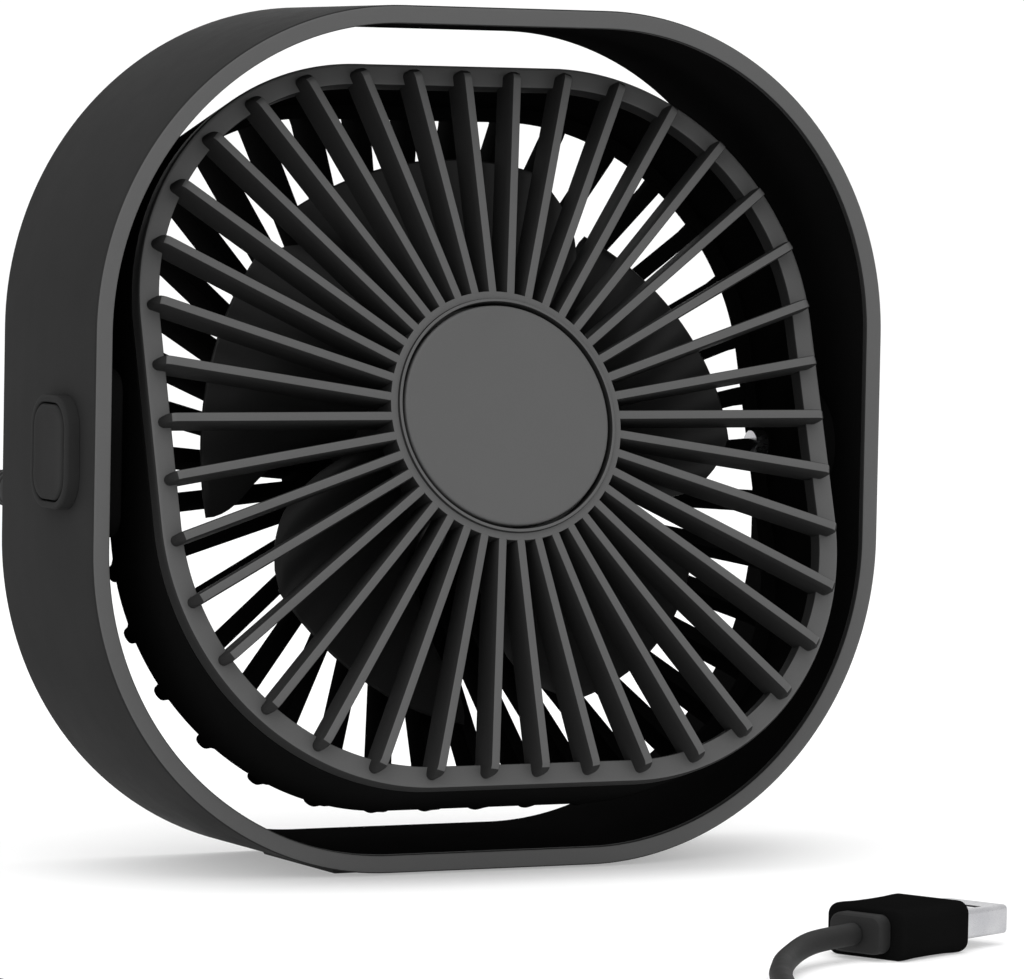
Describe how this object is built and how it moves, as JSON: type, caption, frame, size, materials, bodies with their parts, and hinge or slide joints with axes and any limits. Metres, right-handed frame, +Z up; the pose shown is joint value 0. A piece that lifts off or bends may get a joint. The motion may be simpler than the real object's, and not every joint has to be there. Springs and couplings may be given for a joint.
{
  "type": "desk fan",
  "caption": "Rounded-square desk fan: a standing frame ring holds a tilting grille head on two side pivots, with a push button, a round centre cap and a USB cord.",
  "frame": {"origin": "middle of the foot pad's flat underside, on the table", "axes": "+Z up, -Y out of the front of the fan, +X to the right seen from the front"},
  "size_m": [0.2111, 0.2964, 0.1454],
  "materials": {
    "face_plastic": "satin moulded charcoal ABS",
    "black_plastic": "fine-grained black ABS",
    "blade_plastic": "semi-gloss dark grey ABS",
    "rubber": "matt soft black",
    "steel": "bright nickel-plated steel",
    "gold_contact": "gold-flashed brass",
    "copper_wire": "enamelled copper wire",
    "circuit_board": "green solder mask",
    "magnet": "sintered ferrite",
    "nylon": "natural nylon"
  },
  "bodies": {
    "frame": {"frame_outer_shell": "face_plastic", "frame_inner_liner": "black_plastic", "base_pad": "rubber", "button_collar": "black_plastic", "switch_housing": "black_plastic", "control_board": "circuit_board", "tactile_switch": "steel", "motor_driver_chip": "black_plastic", "housing_screw_upper": "steel", "housing_screw_lower": "steel", "right_pivot_boss": "black_plastic", "pivot_washer_left": "nylon", "pivot_washer_right": "nylon", "cord_gland": "rubber", "cord_inner": "rubber", "cord_fan_run": "rubber", "cord_coil": "rubber", "cord_tie": "rubber", "cord_plug_run": "rubber", "plug_collar": "rubber", "plug_body": "black_plastic", "plug_shell": "steel", "plug_tongue": "nylon", "plug_contact_1": "gold_contact", "plug_contact_2": "gold_contact", "plug_contact_3": "gold_contact", "plug_contact_4": "gold_contact"},
    "button": {"power_button": "black_plastic"},
    "head": {"front_grille": "face_plastic", "centre_cap": "face_plastic", "rear_housing": "black_plastic", "pivot_pin_left": "steel", "pivot_pin_right": "steel", "motor_base": "black_plastic", "motor_board": "circuit_board", "motor_screw_1": "steel", "motor_screw_2": "steel", "motor_screw_3": "steel", "stator_core": "steel", "stator_winding_1": "copper_wire", "stator_winding_2": "copper_wire", "stator_winding_3": "copper_wire", "stator_winding_4": "copper_wire", "bearing_front": "steel", "bearing_rear": "steel"},
    "impeller": {"impeller": "blade_plastic", "rotor_yoke": "steel", "magnet_ring": "magnet", "rotor_shaft": "steel", "shaft_clip": "steel"}
  },
  "joints": [
    {"name": "head_tilt", "type": "hinge", "parent": "frame", "child": "head", "pos_m": [0, 0, 0.0707], "axis": [1, 0, 0], "range_deg": [-163.6, 196.4]},
    {"name": "impeller_spin", "type": "hinge", "parent": "head", "child": "impeller", "pos_m": [0, 0, 0.0707], "axis": [0, -0.9593, 0.2823], "continuous": true},
    {"name": "button_press", "type": "slide", "parent": "frame", "child": "button", "axis": [1, 0, 0], "range_m": [0, 0.0005], "stiffness_N_per_m": 800}
  ]
}
